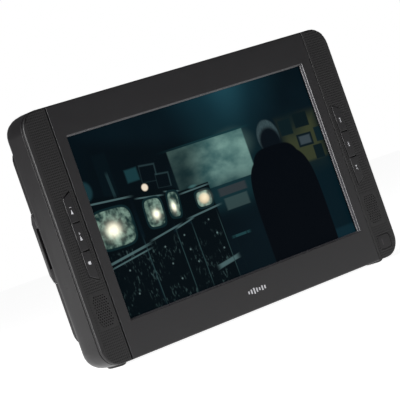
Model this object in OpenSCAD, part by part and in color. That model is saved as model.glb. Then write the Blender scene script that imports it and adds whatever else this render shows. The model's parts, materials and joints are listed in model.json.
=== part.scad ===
// Portable television with a disc player, upright on its bottom edge.
// The screen faces -Y, +Z is up and +X is to the viewer's right.
// The origin is under the middle of the set, on the surface that it stands on.
// Depths are counted in millimetres behind the front face.

/* [Body] */
// Width of the body
body_w = 288; // [284:1:300]
// Height of the body without its feet
body_h = 173.6; // [172:0.4:184]
// Radius of the body's four corners, seen from the front
corner_r = 13.5; // [9:0.5:16]
// Wall thickness of the shells
wall = 2; // [1.6:0.1:2.2]
// Height of the rubber feet
foot_h = 1.6; // [1:0.1:3]
// Width of one foot
foot_w = 6.6; // [5:0.2:9]

/* [Front] */
// Distance of each vertical seam from the middle
seam_x = 121.3; // [119.5:0.1:122.5]
// Width of the seams and gaps between front parts
seam_gap = 0.6; // [0.3:0.1:1]
// Width of the screen opening
view_w = 224; // [216:0.5:225]
// Height of the screen opening
view_h = 126.6; // [122:0.2:128]
// Height of the screen's middle above the body's bottom edge
view_up = 88; // [85:0.5:90]
// Depth of the recess in front of the screen
recess = 3.3; // [2.8:0.1:3.3]

/* [Keys] */
// Distance of the keys' long edge from the middle
key_in_x = 125.8; // [124.8:0.1:126.4]
// Width of a key
key_w = 7; // [5:0.2:8]
// Half length of a group of keys at its long edge
key_long = 30.2; // [26:0.2:34]
// Half length of a group of keys at its short edge
key_short = 26.3; // [22:0.1:26.3]
// Height of the keys' middle above the body's bottom edge
key_up = 86.4; // [80:0.4:90]
// How far the keys stand proud of the front
key_proud = 0.6; // [0.3:0.1:1]
// Gap between two keys
key_gap = 0.4; // [0.3:0.1:0.6]

/* [Speakers] */
// Distance of the speakers' middle from the middle of the set
speaker_x = 131.3; // [131:0.1:131.6]
// Height of the speakers' middle above the body's bottom edge
speaker_up = 36.5; // [34:0.5:38]
// Half width of the perforated field
perf_half_w = 6.2; // [4:0.1:6.4]
// Half height of the perforated field
perf_half_h = 10.8; // [6:0.1:11]
// Distance between perforations
perf_pitch = 1.9; // [1.7:0.1:2.6]
// Radius of one perforation
perf_r = 0.5; // [0.3:0.05:0.6]

/* [Back] */
// Depth of the back's outer band
shelf_d = 23.8; // [23.4:0.1:24]
// Depth of the raised plateau
plateau_d = 28; // [27.8:0.1:28.4]
// Depth of the strap lugs
lug_d = 31.4; // [31:0.1:33]
// Width of the plateau
plateau_w = 281; // [280:0.5:281]
// Height of the plateau
plateau_h = 141; // [140:0.5:142]
// Length of the strap slots
slot_l = 28; // [26:0.5:29]

/* [Disc drive] */
// Radius of the disc well
well_r = 62.5; // [61:0.1:62.5]
// Height of the disc's middle above the body's bottom edge
disc_up = 84.9; // [84.5:0.1:85.3]
// Travel of the pickup
sled_travel = 33; // [28:1:33]

/* [Hidden] */
$fn = 48;

// places
front_y = key_proud - (lug_d + key_proud) / 2;
mid_z = foot_h + body_h / 2;
view_z = foot_h + view_up;
key_z = foot_h + key_up;
speaker_z = foot_h + speaker_up;
disc_z = foot_h + disc_up;

// depths of the front parts
face_t = wall;
rim_d = 2.1;
rim_w = 3;
frame_d = [rim_d, 4];
cover_d = 3;
lcd_d = [recess, 8.6];
bracket_d = [9.4, 10.2];
board_d = [11.2, 12.6];
key_board_d = [6.4, 7.4];

// keys and the boards behind them
key_mid_x = key_in_x + key_w / 2;
key_post_x = 6.4;
key_post_z = 26;
stem_end_d = 4.5;
switch_top_d = 4.95;

// display module
lcd_w = 235;
lcd_h = 143;

// screws through the case
case_screw_x = [-112, 0, 112];
case_screw_z = [foot_h + 8.6, foot_h + body_h - 6.8];
screw_r = 1.3;
head_r = 2.6;
head_d = [19, 20.6];

// door and its hinge
door_w = 132;
door_z = [disc_z - 63.9, disc_z + 63.3];
door_in_d = plateau_d - 1.8;
door_gap = 0.4;
hinge_z = disc_z + 67.1;
hinge_d = plateau_d - 1.9;
hinge_x = 34;
ear_w = 10;
ear_r = 1.9;
pin_r = 0.8;

// strap lugs
lug_in_x = 108.7;
lug_out_x = plateau_w / 2;
lug_half = 24;
slot_d = [22.3, 27.2];
bridge_x = 122.5;

// open button and latch
open_x = 82;
open_w = 12;
open_h = 18;

// disc drive
floor_d = [20.4, 21.8];
chassis_d = [12, 13];
rod_d = 16.6;
rod_z = 16;
rod_r = 1.5;
screw_line_z = -23.5;
lead_r = 1.3;
run = 0.05;
lens_x = 23;
lens_half = 4.5;
sled_x = [12.6, 33.4];
rod_end_x = sled_x[1] + sled_travel + 2.6;
slot_end_x = lens_x + lens_half + sled_travel + 0.8;
motor_r = 11;
spindle_r = 1;
turntable_d = [22, 23.4];
grommet_x = [-19, 52];
grommet_z = 30;

// sockets on the right-hand side wall
switch_z = foot_h + 138;
dc_z = foot_h + 122;
phones_z = [foot_h + 108, foot_h + 96];
aerial_z = foot_h + 72;
usb_z = foot_h + 56;
card_z = foot_h + 32;
socket_x = 128;

// colours
charcoal = [0.2, 0.2, 0.21];
strip_grey = [0.17, 0.16, 0.17];
key_grey = [0.2, 0.2, 0.22];
steel = [0.72, 0.73, 0.75];
board_green = [0.1, 0.32, 0.2];
soot = [0.06, 0.06, 0.07];

// ---- helpers ----

// draws a 2D shape, in X and Z, from depth d[0] to depth d[1]
module at_depth(d) {
  translate([0, front_y + d[1], 0])
    rotate([90, 0, 0])
      linear_extrude(d[1] - d[0])
        children();
}

// outline of a rectangle with round corners
function round_points(w, h, r, steps = 7) = [
  for (corner = [0:3], i = [0:steps])
    let (
      a = 90 * (corner + i / steps),
      sx = corner == 0 || corner == 3 ? 1 : -1,
      sz = corner < 2 ? 1 : -1
    )
    [sx * (w / 2 - r) + r * cos(a), sz * (h / 2 - r) + r * sin(a)]
];

module round_rect(w, h, r) {
  polygon(round_points(w, h, r));
}

// the body's outline, drawn in by inset
module outline(inset = 0) {
  translate([0, mid_z])
    round_rect(body_w - 2 * inset, body_h - 2 * inset, max(corner_r - inset, 1));
}

// a rectangular block from x, z and depth ranges
module block(x, z, d) {
  translate([x[0], front_y + d[0], z[0]])
    cube([x[1] - x[0], d[1] - d[0], z[1] - z[0]]);
}

// a cylinder along Y at x, z over a depth range
module post(x, z, r, d) {
  translate([x, front_y + d[1], z])
    rotate([90, 0, 0])
      cylinder(r = r, h = d[1] - d[0]);
}

// a cylinder along X at z and depth d, from x[0] to x[1]
module rod(x, z, d, r) {
  translate([x[0], front_y + d, z])
    rotate([0, 90, 0])
      cylinder(r = r, h = x[1] - x[0]);
}

// the part of the body's outline beyond a seam; side is -1 for left and 1 for right
module strip_outline(side, inset = 0) {
  in_x = seam_x + seam_gap / 2 + inset;
  intersection() {
    outline(inset);
    translate([side > 0 ? in_x : -in_x - body_w, 0])
      square([body_w, body_h + 2 * foot_h]);
  }
}

// the part of the body's outline between the seams
module centre_outline(inset = 0) {
  half = seam_x - seam_gap / 2 - inset;
  translate([-half, foot_h + inset])
    square([2 * half, body_h - 2 * inset]);
}

// ---- front ----

module view_rect(grow) {
  translate([0, view_z])
    square([view_w + 2 * grow, view_h + 2 * grow], center = true);
}

module front_bezel() {
  lip = 1.2;
  color(charcoal) {
    at_depth([0, face_t])
      difference() {
        centre_outline();
        view_rect(0);
      }
    at_depth([face_t, rim_d])
      difference() {
        centre_outline();
        centre_outline(rim_w);
      }
    at_depth([face_t, recess])
      difference() {
        view_rect(lip);
        view_rect(0);
      }
  }
}

// half outline of a key between two heights: the group's ends slope
function key_edge(z, x_share) =
  let (reach = key_long + (key_short - key_long) * x_share)
  max(-reach, min(reach, z));

function key_points(z, grow) = [
  [key_in_x - grow, key_edge(z[0], 0) - (z[0] < -key_long ? grow : 0)],
  [key_in_x + key_w + grow, key_edge(z[0], 1) - (z[0] < -key_long ? grow : 0)],
  [key_in_x + key_w + grow, key_edge(z[1], 1) + (z[1] > key_long ? grow : 0)],
  [key_in_x - grow, key_edge(z[1], 0) + (z[1] > key_long ? grow : 0)]
];

// a key's face on one side of the set; slot is 1 at the top, 0 in the middle, -1 at the bottom
split = 9.7;
far = 99;
function key_span(place) =
  place > 0 ? [split + key_gap / 2, far]
  : place < 0 ? [-far, -split - key_gap / 2]
  : [-split + key_gap / 2, split - key_gap / 2];

module key_face(side, span, grow = 0) {
  mirror([side < 0 ? 1 : 0, 0])
    translate([0, key_z])
      polygon(key_points(span, grow));
}

module key(side, place) {
  span = key_span(place);
  stem_z = key_z + place * 2 * split;
  flange_x = [key_in_x - 0.9, key_in_x + key_w + 0.9];
  flange_z = place == 0 ? [-split + 0.4, split - 0.4] : [split + 0.4, key_short];
  color(key_grey) {
    at_depth([-key_proud, face_t + 0.1])
      key_face(side, span);
    mirror([side < 0 ? 1 : 0, 0, 0])
      mirror([0, 0, place < 0 ? 1 : 0])
        translate([0, 0, place < 0 ? -key_z : key_z])
          block(flange_x, flange_z, [face_t + 0.1, face_t + 0.9]);
    post(side * key_mid_x, stem_z, 1.4, [face_t + 0.9, stem_end_d]);
  }
}

module volume_down_key() key(-1, 1);
module volume_up_key() key(-1, 0);
module stop_key() key(-1, -1);
module next_key() key(1, 1);
module previous_key() key(1, 0);
module play_key() key(1, -1);

// perforations in staggered rows, inside a long hexagon
module perforations(side) {
  rows = floor(perf_half_h / (perf_pitch * 0.866));
  for (row = [-rows:rows]) {
    z = row * perf_pitch * 0.866;
    shift = abs(row) % 2 == 1 ? perf_pitch / 2 : 0;
    reach = min(perf_half_w, 2 * (perf_half_h - abs(z)) + perf_half_w / 2);
    for (column = [-4:4])
      if (abs(column * perf_pitch + shift) <= reach)
        translate([side * speaker_x + column * perf_pitch + shift, speaker_z + z])
          circle(perf_r, $fn = 8);
  }
}

ir_x = 131.8;
ir_z = foot_h + 11.5;
ir_w = 12.4;
ir_h = 10.2;

module ir_outline(grow = 0) {
  translate([ir_x, ir_z])
    round_rect(ir_w + 2 * grow, ir_h + 2 * grow, 2.4 + grow);
}

module trim_strip(side) {
  color(strip_grey) {
    at_depth([0, face_t])
      difference() {
        strip_outline(side);
        key_face(side, [-far, far], 0.3);
        perforations(side);
        if (side > 0) ir_outline(0.15);
      }
    at_depth([face_t, rim_d])
      difference() {
        strip_outline(side);
        strip_outline(side, rim_w);
        if (side > 0) ir_outline(0.15);
      }
  }
}

module left_trim_strip() trim_strip(-1);
module right_trim_strip() trim_strip(1);

module ir_window() {
  color(soot)
    at_depth([0.1, face_t])
      ir_outline();
}

// inner frame that the front parts clip to
module front_frame() {
  color(soot) {
    at_depth(frame_d)
      difference() {
        outline(wall + 0.2);
        translate([0, view_z])
          square([lcd_w + 1.4, lcd_h + 1.4], center = true);
        for (side = [-1, 1]) {
          translate([side * key_mid_x, key_z])
            square([key_w + 3.4, 2 * key_long + 2], center = true);
          translate([side * speaker_x, speaker_z])
            square([2 * perf_half_w + 2.4, 2 * perf_half_h + 2.4], center = true);
        }
        translate([ir_x, ir_z])
          square([ir_w - 3, ir_h - 3], center = true);
      }
    difference() {
      for (x = case_screw_x, z = case_screw_z)
        post(x, z, 2.8, [frame_d[1], bracket_d[0]]);
      for (x = case_screw_x, z = case_screw_z)
        post(x, z, screw_r, [5.2, bracket_d[0] + 1]);
    }
    for (side = [-1, 1], dx = [-1, 1], dz = [-1, 1])
      post(side * key_mid_x + dx * key_post_x, key_z + dz * key_post_z, 1, [frame_d[1], key_board_d[0]]);
  }
}

// ---- display ----

module lcd_rect(inset) {
  translate([0, view_z])
    square([lcd_w - 2 * inset, lcd_h - 2 * inset], center = true);
}

module screen_gasket() {
  color(soot)
    at_depth([face_t, recess])
      difference() {
        view_rect(4.2);
        view_rect(1.8);
      }
}

module lcd_frame() {
  sheet = 0.5;
  color(steel) {
    at_depth([lcd_d[0], lcd_d[0] + sheet])
      difference() {
        lcd_rect(0);
        view_rect(0.8);
      }
    at_depth([lcd_d[0] + sheet, lcd_d[1]])
      difference() {
        lcd_rect(0);
        lcd_rect(sheet);
      }
  }
}

module lcd_panel() {
  color([0.03, 0.05, 0.07])
    at_depth([lcd_d[0] + 0.6, lcd_d[0] + 2])
      lcd_rect(1);
}

module backlight_unit() {
  color("white")
    at_depth([lcd_d[0] + 2.1, lcd_d[1]])
      lcd_rect(1);
}

module display_bracket() {
  plate_w = 236;
  color(steel) {
    at_depth(bracket_d)
      difference() {
        translate([0, mid_z + 0.8])
          round_rect(plate_w, body_h - 8, 4);
        for (x = [-88, 88], z = [-38, 38])
          translate([x, view_z + z])
            square([36, 44], center = true);
        for (x = case_screw_x, z = case_screw_z)
          translate([x, z])
            circle(screw_r + 0.3);
      }
    for (p = standoffs)
      post(p[0], p[1], 2.2, [bracket_d[1], board_d[0]]);
  }
}

// flat cable from the display to the main board
module lcd_ribbon() {
  ribbon_z = [view_z - 70, view_z - 50];
  thick = 0.4;
  x0 = 74;
  x1 = 96;
  color([0.85, 0.75, 0.5]) {
    block([x0, x1], ribbon_z, [lcd_d[1], lcd_d[1] + thick]);
    block([x1, x1 + thick], ribbon_z, [lcd_d[1], bracket_d[0] - 0.1]);
    block([x0, x0 + thick], ribbon_z, [lcd_d[1] + thick, lcd_d[1] + 0.7]);
  }
}

// ---- boards and battery ----

main_x = [79, 139];
main_z = [foot_h + 16, foot_h + 152];
power_x = [-70, -28];
power_z = [disc_z - 40, disc_z + 40];
standoffs = [
  [main_x[0] + 4, main_z[0] + 5], [main_x[0] + 4, main_z[1] - 5],
  [main_x[1] - 25, main_z[0] + 5], [main_x[1] - 25, main_z[1] - 5],
  [power_x[0] + 4, power_z[0] + 4], [power_x[1] - 4, power_z[1] - 4]
];

// chips and coils on the main board: x, height above the disc's middle, width, height, thickness
chips = [
  [90, -10, 14, 14, 1.4],
  [108, -8, 10, 14, 1],
  [88, 14, 10, 16, 1],
  [86, -56, 8, 8, 3],
  [100, -56, 8, 8, 3]
];

module main_board() {
  color(board_green)
    difference() {
      block(main_x, main_z, board_d);
      board_holes();
    }
}

module board_holes() {
  for (p = standoffs)
    post(p[0], p[1], 1.2, [board_d[0] - 1, board_d[1] + 1]);
}

module board_screws() {
  color(steel)
    for (p = standoffs) {
      post(p[0], p[1], 1.1, board_d);
      post(p[0], p[1], 2.1, [board_d[1], board_d[1] + 1.2]);
    }
}

module main_board_chips() {
  color(soot) {
    for (c = chips)
      block([c[0], c[0] + c[2]], [disc_z + c[1], disc_z + c[1] + c[3]], [board_d[1], board_d[1] + c[4]]);
    for (i = [0:4])
      post(84 + 6 * i, disc_z + 42, 2.4, [board_d[1], board_d[1] + 6]);
  }
}

module tuner_module() {
  color(steel)
    block([92, 120], [aerial_z - 24, aerial_z - 10], [board_d[1], board_d[1] + 5.5]);
}

module power_board() {
  color(board_green) {
    difference() {
      block(power_x, power_z, board_d);
      board_holes();
    }
    block([-60, -44], [disc_z - 24, disc_z - 8], [board_d[1], board_d[1] + 6]);
    for (i = [0:3])
      post(-36, disc_z - 12 + 8 * i, 2.8, [board_d[1], board_d[1] + 7]);
  }
}

module battery_pack() {
  color([0.16, 0.22, 0.4])
    for (i = [0:1])
      block([-127, -75], [foot_h + 26 + 61 * i, foot_h + 86 + 61 * i], [bracket_d[1] + 0.2, 19.6]);
}

module key_board(side) {
  x = side * key_mid_x;
  half_w = key_post_x + 1.1;
  half_h = key_post_z + 4;
  color(board_green)
    block([x - half_w, x + half_w], [key_z - half_h, key_z + half_h], key_board_d);
}

module left_key_board() key_board(-1);
module right_key_board() key_board(1);

module tact_switches(side) {
  x = side * key_mid_x;
  color(steel)
    for (place = [-1:1]) {
      z = key_z + place * 2 * split;
      block([x - 2.2, x + 2.2], [z - 2.2, z + 2.2], [switch_top_d + 0.45, key_board_d[0]]);
      post(x, z, 1, [switch_top_d, switch_top_d + 0.45]);
    }
}

module left_tact_switches() tact_switches(-1);
module right_tact_switches() tact_switches(1);

module ir_receiver() {
  color(board_green)
    block([ir_x - 5, ir_x + 5], [ir_z - 4.4, ir_z + 4.4], [6.6, 7.6]);
  color(soot)
    difference() {
      block([ir_x - 2.6, ir_x + 2.6], [ir_z - 2.8, ir_z + 2.8], [4.1, 6.6]);
      post(ir_x, ir_z, 1.6, [3.9, 4.6]);
    }
}

// ---- speakers ----

speaker_w = 17.6;
speaker_h = 36;
speaker_d = [frame_d[1], 10.2];

module speaker(side) {
  x = side * speaker_x;
  color(soot) {
    at_depth([speaker_d[0], speaker_d[0] + 3])
      difference() {
        translate([x, speaker_z])
          round_rect(speaker_w, speaker_h, 3);
        translate([x, speaker_z])
          round_rect(speaker_w - 2.4, speaker_h - 2.4, 2);
      }
    at_depth([speaker_d[0] + 3, speaker_d[0] + 4])
      translate([x, speaker_z])
        round_rect(speaker_w, speaker_h, 3);
    post(x, speaker_z, 6.5, [speaker_d[0] + 4, speaker_d[1]]);
  }
}

module speaker_cone(side) {
  x = side * speaker_x;
  color([0.25, 0.25, 0.26])
    difference() {
      at_depth([speaker_d[0] + 1, speaker_d[0] + 2.6])
        translate([x, speaker_z])
          round_rect(speaker_w - 2.6, speaker_h - 2.6, 2);
      translate([x, front_y + speaker_d[0] - 4.5, speaker_z])
        sphere(r = 7, $fn = 64);
    }
}

module left_speaker() speaker(-1);
module right_speaker() speaker(1);
module left_speaker_cone() speaker_cone(-1);
module right_speaker_cone() speaker_cone(1);

// ---- rear cover ----

// sections of the rear shell: depth and how far the outline is drawn in there
shell = [[cover_d, 0], [12, 0], [18.5, 0.6], [21.6, 1.6], [shelf_d, 3.4]];

module rear_body(inset, back) {
  hull()
    for (s = shell) {
      d = min(s[0], back) - (s[0] == cover_d ? (inset > 0 ? 1 : 0) : 0);
      at_depth([d - 0.01, d])
        outline(s[1] + inset);
    }
}

module plateau(inset, d) {
  hull() {
    at_depth([d[0], d[1] - 1.2])
      translate([0, mid_z])
        round_rect(plateau_w - 2 * inset, plateau_h - 2 * inset, 12 - inset);
    at_depth([d[1] - 0.01, d[1]])
      translate([0, mid_z])
        round_rect(plateau_w - 2 * inset - 2, plateau_h - 2 * inset - 2, 11 - inset);
  }
}

module door_outline(grow = 0) {
  translate([0, (door_z[0] + door_z[1]) / 2])
    round_rect(door_w + 2 * grow, door_z[1] - door_z[0] + 2 * grow, 14 + grow);
}

// the space that a strap lug fills; side is -1 or 1
module lug_space(side, clear) {
  mirror([side < 0 ? 1 : 0, 0, 0])
    translate([0, 0, mid_z]) {
      block([lug_in_x - clear, lug_out_x + (clear > 0 ? 1 : 0)], [-lug_half - clear, lug_half + clear],
        [shelf_d, plateau_d + 1]);
      block([lug_in_x - clear, 138 + clear], [-slot_l / 2 - 2 - clear, slot_l / 2 + 2 + clear],
        [slot_d[0] - 1.7 - clear, shelf_d + 1]);
    }
}

module strap_slot(side) {
  mirror([side < 0 ? 1 : 0, 0, 0])
    translate([0, 0, mid_z])
      block([lug_in_x + 1.8, body_w / 2 + 1], [-slot_l / 2, slot_l / 2], slot_d);
}

module hinge_ear_cuts() {
  for (side = [-1, 1])
    block([side * hinge_x - ear_w / 2 - 0.4, side * hinge_x + ear_w / 2 + 0.4],
      [door_z[1], hinge_z + ear_r + 0.4], [hinge_d - ear_r - 0.4, plateau_d + 1]);
}

module rear_cover() {
  color(charcoal)
    difference() {
      union() {
        difference() {
          union() {
            rear_body(0, shelf_d);
            plateau(0, [shelf_d - 3, plateau_d]);
          }
          rear_body(wall, shelf_d - wall);
          plateau(wall, [shelf_d - 4, plateau_d - wall]);
        }
        for (x = case_screw_x, z = case_screw_z)
          post(x, z, 3.4, [bracket_d[1], shelf_d - wall + 0.5]);
        for (side = [-1, 1])
          block([side * hinge_x - 9.5, side * hinge_x + 9.5], [hinge_z - 2.4, hinge_z + 2.6],
            [hinge_d - 2.6, plateau_d - wall + 0.2]);
      }
      for (x = case_screw_x, z = case_screw_z) {
        post(x, z, screw_r + 0.3, [bracket_d[1] - 1, shelf_d]);
        post(x, z, head_r + 0.3, [head_d[0], shelf_d + 1]);
      }
      at_depth([plateau_d - wall - 0.2, plateau_d + 1]) {
        door_outline(door_gap);
        translate([0, door_gap])
          door_outline(door_gap);
      }
      hinge_ear_cuts();
      for (side = [-1, 1]) {
        rod([side * hinge_x - 9, side * hinge_x + 9], hinge_z, hinge_d, pin_r);
        lug_space(side, 0.1);
        strap_slot(side);
      }
      at_depth([plateau_d - wall - 1, plateau_d + 1])
        translate([open_x, disc_z])
          round_rect(open_w + 0.6, open_h + 0.6, 2.3);
      vents();
      socket_cuts();
      foot_cuts();
    }
}

// ventilation slots over the boards
module vents() {
  for (i = [0:8], row = [0:1])
    block([76 + 3.6 * i, 77.8 + 3.6 * i], [disc_z + 28 + 18 * row, disc_z + 42 + 18 * row],
      [plateau_d - wall - 1, plateau_d + 1]);
}

foot_d = [4.4, 20];
foot_x = [-126, 126];
foot_in = 1;

module foot_cuts() {
  for (x = foot_x)
    block([x - foot_w / 2, x + foot_w / 2], [0, foot_h + foot_in], foot_d);
}

module rubber_feet() {
  color(soot)
    for (x = foot_x)
      block([x - foot_w / 2, x + foot_w / 2], [0, foot_h + foot_in], foot_d);
}

module case_screws() {
  color(steel)
    for (x = case_screw_x, z = case_screw_z)
      difference() {
        union() {
          post(x, z, screw_r, [5.4, head_d[0]]);
          post(x, z, head_r, head_d);
        }
        for (turn = [0, 90])
          translate([x, front_y + head_d[1], z])
            rotate([0, turn, 0])
              cube([3, 1.6, 0.7], center = true);
      }
}

// a belt loop for a headrest strap
module strap_lug(side) {
  color(charcoal)
    mirror([side < 0 ? 1 : 0, 0, 0])
      translate([0, 0, mid_z])
        difference() {
          union() {
            block([lug_in_x, lug_out_x - 0.6], [-lug_half, lug_half], [plateau_d - wall, plateau_d]);
            block([lug_out_x - wall, lug_out_x - 0.3], [-lug_half, lug_half], [shelf_d, plateau_d - 1]);
            block([lug_in_x, lug_out_x - 0.6], [-slot_l / 2 - 2, slot_l / 2 + 2],
              [shelf_d, plateau_d - 1]);
            block([lug_in_x, 138], [-slot_l / 2 - 2, slot_l / 2 + 2], [slot_d[0] - 1.7, shelf_d]);
            hull() {
              block([bridge_x - 1, lug_out_x - 0.2], [-lug_half + 1, lug_half - 1],
                [plateau_d - 1, plateau_d]);
              block([bridge_x, lug_out_x - 0.8], [-slot_l / 2 - 3.5, slot_l / 2 + 3.5],
                [lug_d - 0.6, lug_d - 0.5]);
              block([bridge_x + 0.6, lug_out_x - 1.6], [-slot_l / 2 - 2.5, slot_l / 2 + 2.5],
                [lug_d - 0.1, lug_d]);
            }
          }
          block([lug_in_x + 1.8, body_w / 2], [-slot_l / 2, slot_l / 2], slot_d);
          block([lug_in_x + 1.8, bridge_x], [-slot_l / 2, slot_l / 2], [slot_d[0], lug_d + 1]);
        }
}

module left_strap_lug() strap_lug(-1);
module right_strap_lug() strap_lug(1);

// ---- disc door ----

catch_z = [disc_z - 2, disc_z + 2];

module disc_door() {
  color(charcoal)
    difference() {
      union() {
        at_depth([door_in_d, plateau_d])
          door_outline();
        for (side = [-1, 1]) {
          block([side * hinge_x - ear_w / 2, side * hinge_x + ear_w / 2],
            [door_z[1] - 2, hinge_z], [door_in_d, plateau_d]);
          rod([side * hinge_x - ear_w / 2, side * hinge_x + ear_w / 2], hinge_z, hinge_d, ear_r);
        }
        block([door_w / 2 - 1, door_w / 2], catch_z, [slot_d[0], door_in_d + 0.2]);
      }
      for (side = [-1, 1])
        rod([side * hinge_x - ear_w / 2 - 1, side * hinge_x + ear_w / 2 + 1], hinge_z, hinge_d,
          pin_r + run);
      // finger notch at the bottom edge
      translate([0, front_y + plateau_d + 0.2, door_z[0]])
        scale([1, 0.1, 0.5])
          sphere(r = 9);
    }
}

module door_hinge_pins() {
  color(steel)
    for (side = [-1, 1])
      rod([side * hinge_x - 8.8, side * hinge_x + 8.8], hinge_z, hinge_d, pin_r);
}

module open_button() {
  color(key_grey) {
    at_depth([plateau_d - wall - 1.4, plateau_d + 0.5])
      translate([open_x, disc_z])
        round_rect(open_w, open_h, 2);
    at_depth([plateau_d - wall - 1.4, plateau_d - wall - 0.2])
      translate([open_x, disc_z])
        round_rect(open_w + 2.4, open_h + 2.4, 3);
  }
}

module door_latch() {
  color("white") {
    block([door_w / 2 + 0.4, open_x + 8], catch_z, [slot_d[0], slot_d[0] + 0.8]);
    block([door_w / 2 + 0.4, door_w / 2 + 2.4], catch_z, [slot_d[0] + 0.8, slot_d[0] + 1.8]);
  }
}

// ---- disc drive ----

// children are placed from the disc's middle
module at_disc() {
  translate([0, 0, disc_z])
    children();
}

module tray_aperture() {
  translate([0, disc_z])
    circle(14.5);
  translate([0, disc_z - 10])
    square([slot_end_x, 20]);
}

module disc_tray() {
  flange_d = [24.6, plateau_d - wall];
  color(soot)
    difference() {
      union() {
        at_depth(flange_d)
          difference() {
            translate([0, disc_z - 0.7])
              round_rect(door_w + 6, 129.2, 16);
            translate([0, disc_z])
              circle(well_r + 0.5);
          }
        at_depth([floor_d[0], flange_d[1]])
          difference() {
            translate([0, disc_z])
              circle(well_r + 1.5);
            translate([0, disc_z])
              circle(well_r);
          }
        at_depth(floor_d)
          difference() {
            translate([0, disc_z])
              circle(well_r + 0.5);
            tray_aperture();
          }
        for (x = grommet_x, z = [-1, 1])
          post(x, disc_z + z * grommet_z, 1.4, [11.5, floor_d[0] + 0.2]);
      }
      block([door_w / 2 - 1.4, door_w / 2 + 4], [catch_z[0] - 0.6, catch_z[1] + 0.6],
        [floor_d[1], plateau_d]);
    }
}

module drive_chassis() {
  color(steel)
    at_disc()
      difference() {
        union() {
          block([-24, rod_end_x + 7], [-34, 34], chassis_d);
          for (x = [3, rod_end_x], z = [-rod_z, rod_z])
            block([x, x + 3], [z - 2.8, z + 2.8], [chassis_d[1] - 0.2, 19]);
          block([rod_end_x, rod_end_x + 3], [screw_line_z - 2.6, screw_line_z + 2.6],
            [chassis_d[1] - 0.2, 19]);
        }
        for (z = [-rod_z, rod_z])
          rod([2, rod_end_x + 4], z, rod_d, rod_r);
        rod([rod_end_x - 1, rod_end_x + 4], screw_line_z, rod_d, lead_r + run);
        for (x = grommet_x, z = [-grommet_z, grommet_z])
          post(x, z, 2.6, [chassis_d[0] - 1, chassis_d[1] + 1]);
      }
}

module drive_grommets() {
  color([0.1, 0.1, 0.1])
    for (x = grommet_x, z = [-grommet_z, grommet_z])
      at_disc()
        difference() {
          union() {
            post(x, z, 2.6, chassis_d);
            post(x, z, 3.8, [chassis_d[0] - 0.8, chassis_d[0]]);
            post(x, z, 3.8, [chassis_d[1], chassis_d[1] + 0.8]);
          }
          post(x, z, 1.4, [chassis_d[0] - 1, chassis_d[1] + 1]);
        }
}

module spindle_motor() {
  color(steel)
    at_disc()
      difference() {
        union() {
          post(0, 0, motor_r, [chassis_d[1], 17.5]);
          post(0, 0, 4, [17.5, 20]);
        }
        post(0, 0, spindle_r + run, [chassis_d[1] + 0.6, 21]);
      }
}

module disc_hub() {
  hub_r = 7.2;
  color("white")
    at_disc() {
      post(0, 0, spindle_r, [chassis_d[1] + 0.8, turntable_d[0] + 0.1]);
      post(0, 0, 12.5, turntable_d);
      post(0, 0, hub_r, [turntable_d[1], turntable_d[1] + 1.8]);
      for (turn = [0, 120, 240])
        translate([0, front_y + turntable_d[1] + 1.3, 0])
          rotate([0, turn, 0])
            translate([hub_r - 0.6, 0, 0])
              sphere(r = 0.8, $fn = 24);
    }
}

module pickup_sled() {
  nut_d = [14.6, 18.6];
  color([0.3, 0.3, 0.32])
    at_disc()
      difference() {
        union() {
          block(sled_x, [-19.5, 19.5], [14.4, 19.6]);
          block([20, 26], [-26.2, -19], nut_d);
          block([lens_x - lens_half, lens_x + lens_half], [-8, 8], [19.4, 20.6]);
        }
        for (z = [-rod_z, rod_z])
          rod([sled_x[0] - 1, sled_x[1] + 1], z, rod_d, rod_r + run);
        rod([19, 27], screw_line_z, rod_d, lead_r + run);
      }
}

module pickup_lens() {
  color([0.5, 0.6, 0.9])
    at_disc()
      post(lens_x, 0, 2.4, [20.6, 21.3]);
}

module guide_rods() {
  color(steel)
    at_disc()
      for (z = [-rod_z, rod_z])
        rod([3, rod_end_x + 3], z, rod_d, rod_r);
}

module lead_screw() {
  color(steel)
    at_disc()
      rod([-4.9, rod_end_x + 2.8], screw_line_z, rod_d, lead_r);
}

module sled_motor() {
  color(steel)
    at_disc()
      difference() {
        rod([-18, -5], screw_line_z, rod_d, 3.5);
        rod([-6, -4], screw_line_z, rod_d, 0.8);
      }
}

// ---- sockets on the right-hand side ----

socket_d = 16;
wall_x = body_w / 2;

// openings in the rear cover's side wall
module socket_cuts() {
  x = [wall_x - 8, wall_x + 1];
  block(x, [switch_z - 5, switch_z + 5], [socket_d - 1.8, socket_d + 1.8]);
  rod(x, dc_z, socket_d, 3.2);
  for (z = phones_z)
    rod(x, z, socket_d, 3.15, $fn = 12);
  rod(x, aerial_z, socket_d, 3.3);
  block(x, [usb_z - 6.9, usb_z + 6.9], [socket_d - 3.2, socket_d + 3.2]);
  block(x, [card_z - 12.6, card_z + 12.6], [socket_d - 2.6, socket_d + 2.6]);
}

module power_switch_body() {
  color(steel)
    difference() {
      block([socket_x, 139.6], [switch_z - 7, switch_z + 7], [board_d[1], 19.4]);
      block([136, 140], [switch_z - 4.4, switch_z + 4.4], [socket_d - 1.4, socket_d + 1.4]);
    }
}

module power_switch_knob() {
  color(key_grey)
    block([136.3, wall_x], [switch_z - 4, switch_z], [socket_d - 1.1, socket_d + 1.1]);
}

module dc_in_jack() {
  color(soot)
    difference() {
      union() {
        block([socket_x, 141], [dc_z - 4.5, dc_z + 4.5], [board_d[1], 19.4]);
        rod([140, wall_x - 0.6], dc_z, socket_d, 3.1);
      }
      rod([socket_x + 3, wall_x + 1], dc_z, socket_d, 2.8);
    }
  color(steel)
    rod([socket_x + 2, wall_x - 2.5], dc_z, socket_d, 0.7);
}

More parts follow.
